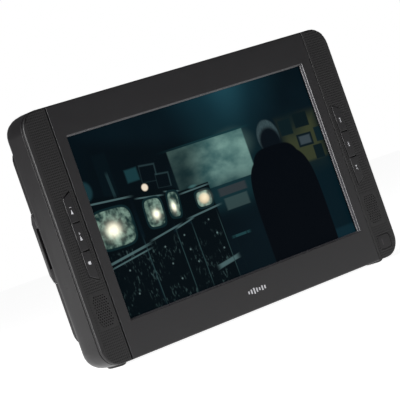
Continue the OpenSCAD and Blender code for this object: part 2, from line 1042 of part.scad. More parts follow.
module headphone_jacks() {
  color(soot)
    for (z = phones_z)
      difference() {
        union() {
          block([socket_x, 141], [z - 3.6, z + 3.6], [board_d[1], 19.2]);
          rod([140, wall_x - 0.4], z, socket_d, 2.95);
        }
        rod([socket_x + 0.8, wall_x + 1], z, socket_d, 1.8);
      }
}

module aerial_socket() {
  color([0.8, 0.68, 0.35])
    difference() {
      union() {
        block([socket_x, 140], [aerial_z - 4, aerial_z + 4], [board_d[1], 19.4]);
        rod([139, wall_x - 0.3], aerial_z, socket_d, 3.2);
      }
      rod([socket_x + 5, wall_x + 1], aerial_z, socket_d, 2.2);
    }
}

module usb_socket() {
  color(steel)
    difference() {
      block([socket_x, wall_x - 0.6], [usb_z - 6.7, usb_z + 6.7], [socket_d - 3, socket_d + 3]);
      block([socket_x + 1.5, wall_x + 1], [usb_z - 6.2, usb_z + 6.2], [socket_d - 2.5, socket_d + 2.5]);
    }
}

module card_slot() {
  color(steel)
    difference() {
      block([socket_x - 12, wall_x - 0.6], [card_z - 12.4, card_z + 12.4],
        [socket_d - 2.4, socket_d + 2.4]);
      block([socket_x - 11, wall_x + 1], [card_z - 12, card_z + 12], [socket_d - 2.1, socket_d + 2.1]);
    }
}

front_bezel();
left_trim_strip();
right_trim_strip();
ir_window();
rear_cover();
left_strap_lug();
right_strap_lug();
disc_door();
door_hinge_pins();
open_button();
door_latch();
rubber_feet();
case_screws();
volume_down_key();
volume_up_key();
stop_key();
next_key();
previous_key();
play_key();
front_frame();
screen_gasket();
lcd_frame();
lcd_panel();
backlight_unit();
display_bracket();
lcd_ribbon();
main_board();
main_board_chips();
tuner_module();
power_board();
battery_pack();
left_key_board();
right_key_board();
left_tact_switches();
right_tact_switches();
ir_receiver();
left_speaker();
right_speaker();
left_speaker_cone();
right_speaker_cone();
disc_tray();
drive_chassis();
drive_grommets();
spindle_motor();
disc_hub();
pickup_sled();
pickup_lens();
guide_rods();
lead_screw();
sled_motor();
power_switch_body();
power_switch_knob();
dc_in_jack();
headphone_jacks();
aerial_socket();
usb_socket();
card_slot();
board_screws();
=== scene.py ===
"""Looks of the portable television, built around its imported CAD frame. Metres, +Z up, screen towards -Y."""

import json
import math

import bmesh
import bpy
from mathutils import Matrix, Vector

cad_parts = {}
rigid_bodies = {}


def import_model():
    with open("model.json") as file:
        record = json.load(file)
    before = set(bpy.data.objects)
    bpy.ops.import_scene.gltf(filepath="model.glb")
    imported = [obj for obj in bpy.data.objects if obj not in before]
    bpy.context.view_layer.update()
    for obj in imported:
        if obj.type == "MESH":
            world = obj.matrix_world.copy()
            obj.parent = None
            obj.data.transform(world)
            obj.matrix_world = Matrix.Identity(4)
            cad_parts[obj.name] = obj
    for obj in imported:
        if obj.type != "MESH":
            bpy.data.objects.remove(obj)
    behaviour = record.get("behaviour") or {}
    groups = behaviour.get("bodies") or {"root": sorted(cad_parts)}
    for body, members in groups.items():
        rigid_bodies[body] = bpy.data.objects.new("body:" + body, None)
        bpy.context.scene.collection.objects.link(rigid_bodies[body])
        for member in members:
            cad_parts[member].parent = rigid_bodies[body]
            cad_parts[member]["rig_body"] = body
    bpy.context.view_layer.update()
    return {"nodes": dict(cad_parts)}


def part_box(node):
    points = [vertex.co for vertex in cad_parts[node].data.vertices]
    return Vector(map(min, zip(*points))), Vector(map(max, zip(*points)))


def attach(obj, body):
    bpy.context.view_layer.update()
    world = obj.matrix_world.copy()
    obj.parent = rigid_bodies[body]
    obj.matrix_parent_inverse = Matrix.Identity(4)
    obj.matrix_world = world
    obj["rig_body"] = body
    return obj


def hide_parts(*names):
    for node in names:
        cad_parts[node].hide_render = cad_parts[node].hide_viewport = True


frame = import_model()

MM = 0.001

# the view's direction and roll, its distance from a point on the panel's face (metres), and its lens (mm)
VIEW_AZIMUTH = math.radians(40.97)
VIEW_ELEVATION = math.radians(0.10)
VIEW_ROLL = math.radians(19.34)
VIEW_DISTANCE = 1.5288
AIM_X = -0.0219
AIM_Z = 0.0850
LENS = 203.06

# the front face and the screen's middle in metres, and the body's rounded outline seen from the front
PANEL_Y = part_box("front_bezel")[0].y
SCREEN_MID_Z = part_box("front_bezel")[0].z + 88 * MM
BODY_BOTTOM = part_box("left_trim_strip")[0].z
BODY_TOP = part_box("left_trim_strip")[1].z
BODY_MID = (BODY_BOTTOM + BODY_TOP) / 2
BODY_HALF_H = (BODY_TOP - BODY_BOTTOM) / 2 / MM
BODY_HALF_W = -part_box("left_trim_strip")[0].x / MM
BODY_RADIUS = 13.5

# the block of three keys: its inner side is long and its outer side is short (millimetres)
KEY_IN_X = 125.8
KEY_HALF_W = 3.5
KEY_MID_X = KEY_IN_X + KEY_HALF_W
KEY_MID_Z = (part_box("volume_up_key")[0].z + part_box("volume_up_key")[1].z) / 2 / MM
KEY_HALF_L = 30.2
KEY_OUT_HALF_L = 26.3
KEY_SLOPE = (KEY_HALF_L - KEY_OUT_HALF_L) / (2 * KEY_HALF_W)
KEY_PITCH = 17.9
KEY_ROWS = {
    "volume_down_key": 1, "volume_up_key": 0, "stop_key": -1,
    "next_key": 1, "previous_key": 0, "play_key": -1,
}

# the dimpled field of a side strip, and the speaker's perforations in it (millimetres)
FIELD_IN_X = 122.6
FIELD_OUT_X = 140.9
SPEAKER_X = 131.3
SPEAKER_Z = 38.1
SPEAKER_HALF_W = 7.6
SPEAKER_HALF_H = 12.2

# the screen opening, the thickness of the centre panel's face and the depth of its rim (millimetres)
OPENING_HALF_W = 112.0
OPENING_HALF_H = 63.3
FACE_T = 2.0
RIM_D = 2.1

# the lit picture, the glass before it, and where the glass is cut into parts (millimetres)
LIT_HALF_W = 111.5
LIT_HALF_H = 62.8
GLASS_HALF_H = 64
GLASS_PROUD = 0.02
GLASS_T = 0.3
PICTURE_CUTS = (-113, -70, -29, 43, 113)

# how far printed marks stand out of a face (millimetres), and the angle of an edge that is sharp
PRINT_LIFT = 0.03
SHARP = math.radians(32)


# ---------------------------------------------------------------- camera, lights, floor


def add_camera():
    data = bpy.data.cameras.new("camera")
    data.lens = LENS
    data.sensor_width = 36
    data.clip_end = 50
    camera = bpy.data.objects.new("camera", data)
    bpy.context.scene.collection.objects.link(camera)
    look = Vector((
        math.sin(VIEW_AZIMUTH) * math.cos(VIEW_ELEVATION),
        math.cos(VIEW_AZIMUTH) * math.cos(VIEW_ELEVATION),
        math.sin(VIEW_ELEVATION),
    ))
    turn = look.to_track_quat("-Z", "Y").to_matrix() @ Matrix.Rotation(-VIEW_ROLL, 3, "Z")
    place = Vector((AIM_X, PANEL_Y, AIM_Z)) - look * VIEW_DISTANCE
    camera.matrix_world = Matrix.Translation(place) @ turn.to_4x4()
    bpy.context.scene.camera = camera


def area_light(name, place, aim, size, power):
    data = bpy.data.lights.new(name, "AREA")
    data.shape = "RECTANGLE"
    data.size, data.size_y = size
    data.energy = power
    lamp = bpy.data.objects.new(name, data)
    bpy.context.scene.collection.objects.link(lamp)
    place = Vector(place)
    turn = (Vector(aim) - place).to_track_quat("-Z", "Y").to_matrix().to_4x4()
    lamp.matrix_world = Matrix.Translation(place) @ turn


def add_lights():
    middle = (0, 0, 0.09)
    area_light("left_softbox", (-1.5, -0.5, 0.3), middle, (0.9, 2.0), 66)
    area_light("low_left_card", (-0.5, 0.3, 0.0), (-0.1, 0, 0.03), (0.4, 0.25), 0.2)


def add_world():
    """Seen directly the room is white. It lights the set mostly from behind and from the left."""
    world = bpy.data.worlds.new("studio")
    bpy.context.scene.world = world
    world.use_nodes = True
    tree = world.node_tree
    tree.nodes.clear()
    out = tree.nodes.new("ShaderNodeOutputWorld")
    seen = tree.nodes.new("ShaderNodeBackground")
    seen.inputs["Color"].default_value = (1, 1, 1, 1)
    seen.inputs["Strength"].default_value = 1.0
    place = tree.nodes.new("ShaderNodeTexCoord")
    toward = tree.nodes.new("ShaderNodeVectorMath")
    toward.operation = "DOT_PRODUCT"
    toward.inputs[1].default_value = Vector((-0.62, 0.70, -0.42)).normalized()
    strength = tree.nodes.new("ShaderNodeMapRange")
    strength.interpolation_type = "SMOOTHSTEP"
    for slot, value in zip(strength.inputs[1:5], (-0.5, 0.95, 0.05, 0.14)):
        slot.default_value = value
    glow = tree.nodes.new("ShaderNodeBackground")
    glow.inputs["Color"].default_value = (0.97, 0.98, 1, 1)
    path = tree.nodes.new("ShaderNodeLightPath")
    mix = tree.nodes.new("ShaderNodeMixShader")
    tree.links.new(place.outputs["Generated"], toward.inputs[0])
    tree.links.new(toward.outputs["Value"], strength.inputs["Value"])
    tree.links.new(strength.outputs["Result"], glow.inputs["Strength"])
    tree.links.new(path.outputs["Is Camera Ray"], mix.inputs["Fac"])
    tree.links.new(glow.outputs[0], mix.inputs[1])
    tree.links.new(seen.outputs[0], mix.inputs[2])
    tree.links.new(mix.outputs[0], out.inputs["Surface"])


def add_floor():
    mesh = bpy.data.meshes.new("floor")
    half = 8
    corners = [(half * x, half * y, 0) for x, y in ((-1, -1), (1, -1), (1, 1), (-1, 1))]
    mesh.from_pydata(corners, [], [(0, 1, 2, 3)])
    floor = bpy.data.objects.new("floor", mesh)
    bpy.context.scene.collection.objects.link(floor)
    material = bpy.data.materials.new("floor_paper")
    material.use_nodes = True
    shader = material.node_tree.nodes["Principled BSDF"]
    shader.inputs["Base Color"].default_value = (0.5, 0.5, 0.5, 1)
    shader.inputs["Roughness"].default_value = 1
    shader.inputs["Specular IOR Level"].default_value = 0
    shader.inputs["Emission Color"].default_value = (1, 1, 1, 1)
    shader.inputs["Emission Strength"].default_value = 0.93
    mesh.materials.append(material)


# ---------------------------------------------------------------- shader helpers


def linear(*rgb):
    """A colour given as 0 to 255 on the screen, as the shader wants it."""
    parts = [c / 255 for c in rgb]
    return tuple(c / 12.92 if c < 0.04045 else ((c + 0.055) / 1.055) ** 2.4 for c in parts) + (1.0,)


class Field:
    """A number that varies over a surface: a shader socket that takes arithmetic."""

    def __init__(self, tree, socket):
        self.tree = tree
        self.socket = socket

    def math(self, operation, *others, clamp=False):
        node = self.tree.nodes.new("ShaderNodeMath")
        node.operation = operation
        node.use_clamp = clamp
        for slot, value in zip(node.inputs, (self, *others)):
            if isinstance(value, Field):
                self.tree.links.new(value.socket, slot)
            else:
                slot.default_value = value
        return Field(self.tree, node.outputs[0])

    def __add__(self, other):
        return self.math("ADD", other)

    def __sub__(self, other):
        return self.math("SUBTRACT", other)

    def __mul__(self, other):
        return self.math("MULTIPLY", other)

    def __abs__(self):
        return self.math("ABSOLUTE")

    def step(self, low, high):
        """0 below low and 1 above high, smoothly; the other way round if low is above high."""
        node = self.tree.nodes.new("ShaderNodeMapRange")
        node.interpolation_type = "SMOOTHSTEP"
        self.tree.links.new(self.socket, node.inputs["Value"])
        out = (0, 1) if low < high else (1, 0)
        for slot, value in zip(node.inputs[1:5], (min(low, high), max(low, high), *out)):
            slot.default_value = value
        return Field(self.tree, node.outputs["Result"])

    def spread(self, low, high):
        """0 to 1 becomes low to high."""
        return self * (high - low) + low


class Surface:
    """A new material with its Principled shader and the surface's own coordinates in millimetres."""

    def __init__(self, name):
        self.material = bpy.data.materials.new(name)
        self.material.use_nodes = True
        self.tree = self.material.node_tree
        self.shader = self.tree.nodes["Principled BSDF"]
        place = self.tree.nodes.new("ShaderNodeTexCoord")
        self.place = self.mapped(place.outputs["Object"], scale=(1 / MM,) * 3, kind="POINT")

    def mapped(self, socket, location=(0, 0, 0), turn=0.0, scale=(1, 1, 1), kind="TEXTURE"):
        node = self.tree.nodes.new("ShaderNodeMapping")
        node.vector_type = kind
        self.tree.links.new(socket, node.inputs["Vector"])
        node.inputs["Location"].default_value = location
        node.inputs["Rotation"].default_value = (0, turn, 0)
        node.inputs["Scale"].default_value = scale
        return node.outputs["Vector"]

    def split(self, socket):
        node = self.tree.nodes.new("ShaderNodeSeparateXYZ")
        self.tree.links.new(socket, node.inputs[0])
        return [Field(self.tree, out) for out in node.outputs]

    def noise(self, size, detail=2.0, place=None, stretch=(1, 1, 1)):
        """Noise with features about size millimetres across."""
        where = self.mapped(place or self.place, scale=[size * s for s in stretch])
        node = self.tree.nodes.new("ShaderNodeTexNoise")
        node.inputs["Scale"].default_value = 1.0
        node.inputs["Detail"].default_value = detail
        self.tree.links.new(where, node.inputs["Vector"])
        return Field(self.tree, node.outputs["Fac"])

    def cells(self, size):
        """Distance to the nearest of scattered points about size millimetres apart."""
        node = self.tree.nodes.new("ShaderNodeTexVoronoi")
        node.inputs["Scale"].default_value = 1.0
        self.tree.links.new(self.mapped(self.place, scale=(size,) * 3), node.inputs["Vector"])
        return Field(self.tree, node.outputs["Distance"])

    def blend(self, amount, first, second, kind="MIX"):
        """A colour socket between two colours, each a tuple or a socket."""
        node = self.tree.nodes.new("ShaderNodeMix")
        node.data_type = "RGBA"
        node.blend_type = kind
        self.tree.links.new(amount.socket, node.inputs[0])
        for slot, value in ((node.inputs[6], first), (node.inputs[7], second)):
            if isinstance(value, tuple):
                slot.default_value = value
            else:
                self.tree.links.new(value, slot)
        return node.outputs[2]

    def set(self, name, value):
        slot = self.shader.inputs[name]
        if isinstance(value, Field):
            self.tree.links.new(value.socket, slot)
        elif hasattr(value, "is_output"):
            self.tree.links.new(value, slot)
        else:
            slot.default_value = value

    def bump(self, height, depth_mm):
        """Relief: height runs from 0 to 1 and stands for depth_mm."""
        node = self.tree.nodes.new("ShaderNodeBump")
        node.inputs["Strength"].default_value = 1.0
        node.inputs["Distance"].default_value = depth_mm * MM
        self.tree.links.new(height.socket, node.inputs["Height"])
        self.tree.links.new(node.outputs["Normal"], self.shader.inputs["Normal"])


# ---------------------------------------------------------------- materials


def shade(colour, factor):
    return tuple(c * factor for c in colour[:3]) + (1.0,)


def moulded(name, colour, roughness=0.42, grain=0.45, depth=0.012, specular=0.5):
    """Injection-moulded plastic: fine spark-eroded grain, slow colour drift and uneven gloss."""
    surface = Surface(name)
    drift = surface.noise(38, 3)
    speck = surface.noise(grain * 0.7, 1)
    tint = drift * 0.6 + speck * 0.4
    surface.set("Base Color", surface.blend(tint, shade(colour, 0.8), shade(colour, 1.2)))
    gloss = surface.noise(11, 4) * 0.7 + speck * 0.3
    surface.set("Roughness", gloss.spread(roughness - 0.07, roughness + 0.07))
    surface.set("Specular IOR Level", specular)
    surface.bump(surface.cells(grain) * 0.6 + surface.noise(grain * 1.6, 2) * 0.6, depth)
    return surface


def dimpled_strip(name, colour):
    """The side strips: small dimples in rows, painted darker as shade in their hollows, smooth along the
    outer edge, with painted shadow in a band round the keys.
    """
    surface = Surface(name)
    x, y, z = surface.split(surface.place)
    across = abs(x)
    pitch_x, pitch_z = 1.5, 1.75
    column = (across * (1 / pitch_x)).math("FRACT") - 0.5
    row = (z * (1 / pitch_z)).math("FRACT") - 0.5
    distance = (column * column + row * row).math("SQRT")
    key_end = abs(z - KEY_MID_Z) - (across * -KEY_SLOPE + (KEY_HALF_L + KEY_SLOPE * KEY_IN_X))
    key_gap = (abs(across - KEY_MID_X) - KEY_HALF_W).math("MAXIMUM", key_end)
    front = (y - PANEL_Y / MM).step(0.25, 0.1)
    sides = across.step(FIELD_OUT_X, FIELD_OUT_X - 0.8) * across.step(FIELD_IN_X, FIELD_IN_X + 0.4)
    field = sides * key_gap.step(0.7, 1.4) * front
    speaker_x = abs(across - SPEAKER_X) * (1 / SPEAKER_HALF_W)
    speaker_z = abs(z - SPEAKER_Z) * (1 / SPEAKER_HALF_H)
    speaker = speaker_x.math("MAXIMUM", speaker_z)
    dimple = distance.step(0.44, 0.16) * field * speaker.step(0.95, 1.05)
    # painted shadow: a near-black band with little specular in the gap round the keys
    painted_gap_shadow = key_gap.step(0.55, 0.35)
    speck = surface.noise(0.3, 1)
    drift = surface.noise(30, 3)
    body = surface.blend(drift * 0.6 + speck * 0.4, shade(colour, 0.8), shade(colour, 1.2))
    # painted shade: the dimples' hollows are coloured much darker; their relief is the bump below
    dimples_painted_dark = surface.blend(dimple * 0.6, body, shade(colour, 0.15))
    surface.set("Base Color", surface.blend(painted_gap_shadow * 0.9, dimples_painted_dark, shade(colour, 0.05)))
    surface.set("Roughness", (surface.noise(9, 4) * 0.7 + speck * 0.3).spread(0.38, 0.52))
    surface.set("Specular IOR Level", (dimple * 0.6).math("MAXIMUM", painted_gap_shadow).spread(0.5, 0.08))
    surface.bump(surface.noise(0.5, 2) * 0.1 + dimple * -1.0, 0.06)
    return surface


def smoked_window(name):
    """Dark glossy plastic with a painted highlight: a faint pale upright line 2 mm left of the window's
    middle.
    """
    surface = Surface(name)
    low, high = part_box("ir_window")
    glint_x = (low.x + high.x) / 2 / MM - 2
    glint_z = (low.z + high.z) / 2 / MM
    x, _, z = surface.split(surface.place)
    # painted highlight: a faint pale upright glint on the window
    glint = abs(x - glint_x).step(0.5, 0.1) * abs(z - glint_z).step(2.6, 1.8)
    haze = surface.noise(5, 2)
    base = surface.blend(haze, linear(18, 17, 18), linear(28, 26, 28))
    surface.set("Base Color", surface.blend(glint * 0.6, base, linear(84, 80, 84)))
    surface.set("Roughness", surface.noise(2.5, 3).spread(0.26, 0.36))
    surface.set("Specular IOR Level", 0.35)
    surface.bump(surface.noise(0.6, 2), 0.004)
    return surface


def rubber(name, colour):
    surface = Surface(name)
    surface.set("Base Color", surface.blend(surface.noise(1.2, 4), shade(colour, 0.6), shade(colour, 1.5)))
    surface.set("Roughness", surface.noise(0.8, 3).spread(0.7, 0.9))
    surface.bump(surface.noise(0.35, 3), 0.05)
    return surface


def foam(name, colour):
    surface = Surface(name)
    pores = surface.cells(0.5)
    surface.set("Base Color", surface.blend(pores, shade(colour, 0.4), shade(colour, 1.4)))
    surface.set("Roughness", surface.noise(1.0).spread(0.85, 1.0))
    surface.bump(pores, 0.15)
    return surface


def metal(name, colour, roughness=0.35, stretch=(14, 1, 1), stroke=0.16):
    """Bare metal with fine drawn lines and slight staining."""
    surface = Surface(name)
    lines = surface.noise(stroke, 2, stretch=stretch)
    stain = surface.noise(9, 4)
    tint = stain * 0.6 + lines * 0.4
    surface.set("Metallic", 1.0)
    surface.set("Base Color", surface.blend(tint, shade(colour, 0.72), shade(colour, 1.1)))
    surface.set("Roughness", (lines * 0.6 + stain * 0.4).spread(roughness - 0.1, roughness + 0.14))
    surface.bump(lines, 0.008)
    return surface


def circuit(name):
    """Solder mask over copper tracks, with bare pads."""
    surface = Surface(name)
    x, _, z = surface.split(surface.place)
    pitch = 3.1
    shift_x = (surface.noise(14, 1) * 3).math("FLOOR") * 0.33
    lane = abs((x * (1 / pitch) + shift_x).math("FRACT") - 0.5)
    shift_z = (surface.noise(17, 1) * 3).math("FLOOR") * 0.33
    cross = abs((z * (1 / pitch) + shift_z).math("FRACT") - 0.5)
    patch = surface.noise(12, 1).step(0.48, 0.5)
    tracks = lane.step(0.14, 0.1).math("MAXIMUM", cross.step(0.12, 0.08) * patch)
    pads = surface.cells(4.2).step(0.16, 0.12)
    mask = surface.blend(tracks, linear(14, 62, 40), linear(30, 98, 62))
    surface.set("Base Color", surface.blend(pads, mask, linear(196, 190, 170)))
    surface.set("Roughness", surface.noise(2, 3).spread(0.28, 0.4))
    surface.bump(tracks * 0.6 + pads * 0.4, 0.04)
    return surface


def wrap(name):
    """The battery's heat-shrunk sleeve."""
    surface = Surface(name)
    folds = surface.noise(6, 3, stretch=(3, 1, 1))
    surface.set("Base Color", surface.blend(folds, linear(28, 60, 128), linear(44, 84, 160)))
    surface.set("Roughness", surface.noise(3).spread(0.22, 0.36))
    surface.bump(folds, 0.12)
    return surface


def cone_paper(name):
    surface = Surface(name)
    fibres = surface.noise(0.7, 4, stretch=(3, 1, 1))
    surface.set("Base Color", surface.blend(fibres, linear(24, 24, 26), linear(56, 54, 54)))
    surface.set("Roughness", fibres.spread(0.75, 0.95))
    surface.bump(fibres, 0.06)
    return surface


def lens(name):
    surface = Surface(name)
    tint = surface.noise(1.5, 1)
    surface.set("Base Color", surface.blend(tint, linear(60, 90, 150), linear(110, 80, 160)))
    surface.set("Roughness", surface.noise(0.8).spread(0.03, 0.08))
    surface.set("Coat Weight", 1.0)
    return surface


def film(name):
    """Flat ribbon cable: parallel conductors under amber film."""
    surface = Surface(name)
    x, _, _ = surface.split(surface.place)
    wires = abs((x * 1.25).math("FRACT") - 0.5).step(0.3, 0.22)
    surface.set("Base Color", surface.blend(wires, linear(160, 92, 30), linear(206, 150, 80)))
    surface.set("Roughness", surface.noise(2).spread(0.25, 0.4))
    surface.bump(wires, 0.05)
    return surface


class Picture:
    """Part of a picture painted in layers; places and sizes are in millimetres from the picture's middle.
    Layers that lie wholly outside the part, which runs from left to right, are left out of its shader."""

    def __init__(self, surface, middle, ground, left, right):
        self.surface = surface
        self.place = surface.mapped(surface.place, location=middle)
        self.colour = ground
        self.left = left
        self.right = right

    def outside(self, place, half):
        reach = max(half[0], min(half[1], 14)) * 1.3 + 1
        return place[0] + reach < self.left or place[0] - reach > self.right

    def local(self, place, size, turn=0):
        """Coordinates that run from -1 to 1 over a shape's width (first) and height (last)."""
        middle = (place[0], 0, place[1])
        return self.surface.mapped(self.place, middle, math.radians(-turn), (size[0], 1e6, size[1]))

    def paint(self, mask, colour, kind="MIX"):
        self.colour = self.surface.blend(mask, self.colour, colour, kind)

    def box(self, place, half, colour, turn=0, soft=0.08, strength=1.0, lean=0.0):
        """A rectangle; lean slides its far end down, as a shelf seen at an angle does."""
        if self.outside(place, half):
            return
        u, _, v = self.surface.split(self.local(place, half, turn))
        if lean:
            v = v + u * lean
        mask = abs(u).math("MAXIMUM", abs(v)).step(1 + soft, 1 - soft)
        self.paint(mask * strength, colour)

    def tube_face(self, place, half, colour, turn=0, soft=0.1):
        """The bulged, round-cornered face of a picture tube."""
        if self.outside(place, half):
            return
        u, _, v = self.surface.split(self.local(place, half, turn))
        mask = (u.math("POWER", 4.0) + v.math("POWER", 4.0)).step(1 + soft, 1 - soft)
        self.paint(mask, colour)

    def glow(self, place, radius, colour, strength=1.0, kind="ADD", core=0.0):
        """A soft round light, or with kind MIX a soft round shape."""
        if self.outside(place, radius):
            return
        node = self.surface.tree.nodes.new("ShaderNodeVectorMath")
        node.operation = "LENGTH"
        self.surface.tree.links.new(self.local(place, radius), node.inputs[0])
        mask = Field(self.surface.tree, node.outputs["Value"]).step(1.0, core)
        self.paint(mask * strength, colour, kind)


def paint_window_wall(scene):
    """Light falling from above, the bright window, and a pale notice and a stool under it."""
    scene.glow((32, 74), (70, 62), linear(30, 78, 92), 0.36)
    scene.glow((36, 72), (26, 46), linear(44, 92, 104), 0.22)
    scene.glow((16, 14), (56, 44), linear(18, 56, 60), 0.36)
    cloud = scene.surface.noise(12, 5, place=scene.place, stretch=(1.7, 1, 1))
    pane = scene.surface.blend(cloud.step(0.3, 0.72), linear(44, 82, 84), linear(104, 138, 132))
    scene.box((3, 17), (36, 16.5), pane, soft=0.02)
    scene.glow((26, 24), (26, 15), linear(120, 150, 138), 0.3)
    scene.glow((-26, 10), (20, 22), linear(20, 52, 58), 0.6, kind="MIX")
    scene.glow((8, -5), (64, 17), linear(16, 46, 52), 0.9, kind="MIX")
    scene.box((3, 34), (37, 0.7), linear(18, 52, 58), soft=0.3)
    scene.box((13, -4.5), (13, 2.8), linear(46, 54, 58), soft=0.12)
    scene.box((13.5, -13.5), (11, 4.2), linear(56, 76, 76), soft=0.1, strength=0.7)
    scene.box((7, -36), (8, 0.9), linear(28, 62, 66), soft=0.3)
    for leg in (1.4, 13):
        scene.box((leg, -48), (0.7, 12), linear(4, 18, 24), turn=4, soft=0.4)


def paint_papered_wall(scene):
    """A papered wall with plain frames on the right."""
    scene.box((92, 9), (17, 19), linear(62, 68, 44), soft=0.35, strength=0.7)
    scene.glow((84, 26), (20, 16), linear(5, 24, 30), 0.85, kind="MIX")
    frames = (
        ((79.5, 24), (6, 5.6), (8, 26, 30)),
        ((96, 26), (7, 5.2), (7, 22, 26)),
        ((94, 11.5), (7.4, 4.6), (6, 22, 28)),
        ((109, 12.5), (4, 5.2), (10, 30, 36)),
        ((103.5, 0.6), (4.4, 5), (8, 24, 28)),
    )
    for place, half, tint in frames:
        scene.box(place, half, linear(*tint), turn=-2, soft=0.07)
    scene.box((94, 11.5), (5.4, 3), linear(54, 66, 72), turn=-2, soft=0.2)
    scene.box((98, -36), (22, 32), linear(3, 24, 32), soft=0.05, strength=0.9)
    scene.box((103, -60), (14, 4), linear(12, 40, 50), soft=0.3, strength=0.7)


def paint_benches(scene):
    """Benches and cabinets on the left, each further one smaller, and their edges that catch the light."""
    scene.box((-60, 22), (52, 24), linear(1, 7, 12), turn=-14, soft=0.3, strength=0.7)
    scene.box((-90, 28), (6, 18), linear(3, 16, 22), soft=0.1, strength=0.8)
    scene.box((-68, 26), (5.4, 4.4), linear(28, 66, 72), soft=0.2, strength=0.7)
    cabinets = (
        ((-96, -6), (18.5, 24), 0.12),
        ((-62, -4), (12.5, 18), 0.12),
        ((-43, -3), (7.4, 13), 0.1),
        ((-21, -5), (14.6, 10.5), 0.0),
        ((-96, -46), (19, 22), 0.06),
        ((-61, -42), (15, 24), 0.08),
        ((-39, -40), (7, 24), 0.08),
        ((-19, -38), (13, 26), -0.04),
    )
    for place, half, lean in cabinets:
        scene.box(place, half, linear(1, 9, 14), soft=0.04, lean=lean)
    speckle = scene.surface.noise(1.6, 4, place=scene.place, stretch=(1, 1, 2.2)).step(0.52, 0.72)
    patch = scene.surface.noise(9, 1, place=scene.place).step(0.46, 0.6)
    scene.box((-60, -42), (50, 22), linear(72, 98, 98), soft=0.06, strength=speckle * patch * 0.4)
    bench_edges = (
        ((-95, 14.6), (17.5, 0.6), -5),
        ((-93, -23.5), (18.5, 0.8), 7),
        ((-92, -26.5), (17, 0.5), 7),
        ((-60, 8.6), (10.5, 0.5), -8),
        ((-56, -17.5), (13, 0.6), 8),
        ((-40, 7.4), (6, 0.45), -12),
        ((-38, -16), (8, 0.5), 10),
        ((-20, 3.8), (12.5, 0.5), 1),
        ((-18, -12.8), (14, 0.6), 4),
        ((-12, -50.5), (9.5, 1.5), 8),
    )
    for place, half, turn in bench_edges:
        scene.box(place, half, linear(84, 112, 114), turn=turn, soft=0.35, strength=0.7)
    for column in (-76, -47, -32, -7):
        scene.box((column, -40), (0.4, 20), linear(40, 64, 66), turn=1, soft=0.4, strength=0.7)


def paint_sets(scene):
    """Glowing picture tubes, the things that stand on them, and knobs and lamps on the cabinets."""
    spark = scene.surface.noise(4.4, 7, place=scene.place)
    glass = scene.surface.blend(spark.step(0.34, 0.74), linear(22, 46, 46), linear(128, 156, 142))
    tubes = (
        ((-97, -3.5), (16.5, 12.6), -2, (-98, -4.5), (15, 12)),
        ((-60, -2.5), (7.4, 9.4), -4, (-59, -4), (8, 8)),
        ((-41.5, -1.5), (4.4, 8.4), -8, (-42.5, -3), (5, 8)),
        ((-14.5, -4.4), (6.6, 5.2), -1, (-14, -4), (9, 7)),
    )
    for place, half, turn, heart, reach in tubes:
        scene.tube_face(place, (half[0] + 1.6, half[1] + 1.6), linear(10, 34, 38), turn=turn)
        scene.tube_face(place, half, glass, turn=turn)
        scene.glow(heart, reach, linear(176, 176, 158), 0.6)
        scene.glow(heart, (reach[0] * 0.6, reach[1] * 0.6), linear(250, 240, 214), core=0.1)
    scene.glow((-14.5, -4.4), (6.0, 4.6), linear(236, 214, 176), 0.7, kind="MIX", core=0.5)
    scene.glow((-61, 15.5), (3.4, 3.0), linear(236, 222, 200), kind="MIX", core=0.6)
    scene.glow((-110, 25), (7, 8), linear(30, 62, 68), 0.6, core=0.6)
    scene.box((-88, 24), (1.2, 8), linear(34, 58, 62), turn=3, soft=0.3, strength=0.6)
    for place, half in (((-54, 24), (7, 6)), ((-43.5, 16.5), (6, 5))):
        scene.box(place, half, linear(46, 68, 72), turn=-6, soft=0.1, strength=0.6)
        inner_place = (place[0] - 0.4, place[1] - 0.4)
        inner_half = (half[0] - 0.6, half[1] - 0.6)
        scene.box(inner_place, inner_half, linear(2, 11, 17), turn=-6)
    scene.glow((-21, 5.8), (5.4, 1.6), linear(60, 98, 98), 0.7, core=0.2)
    knob_columns = ((-98, -34, 2, 17), (-58, -25, 3, 13), (-39, -22, 3, 11), (-15, -18, 3, 12))
    for column, top, rows, pitch in knob_columns:
        for row in range(rows):
            lift = 1.4 * math.sin(5.1 * row + column)
            knob = (column + 2.2 * lift, top - row * pitch + lift)
            scene.glow(knob, (1.1, 1.0), linear(120, 146, 146), 0.6)


def paint_figure(scene):
    """The figure: shoulders, collar and a head of short grey hair, seen from behind."""
    dark = linear(1, 5, 11)
    scene.tube_face((61, -44), (32, 54), dark, soft=0.04)
    scene.tube_face((61, -26), (25, 41), dark, soft=0.06)
    strands = scene.surface.noise(1.1, 3, place=scene.place, stretch=(0.6, 1, 1.6))
    hair = scene.surface.blend(strands, linear(22, 38, 44), linear(74, 94, 98))
    scene.glow((61, 21.5), (11.2, 13.2), hair, 0.9, kind="MIX", core=0.86)
    scene.glow((61.5, 17.6), (11.6, 12.6), linear(5, 13, 20), kind="MIX", core=0.7)
    scene.tube_face((60.5, 6), (15, 9), dark)


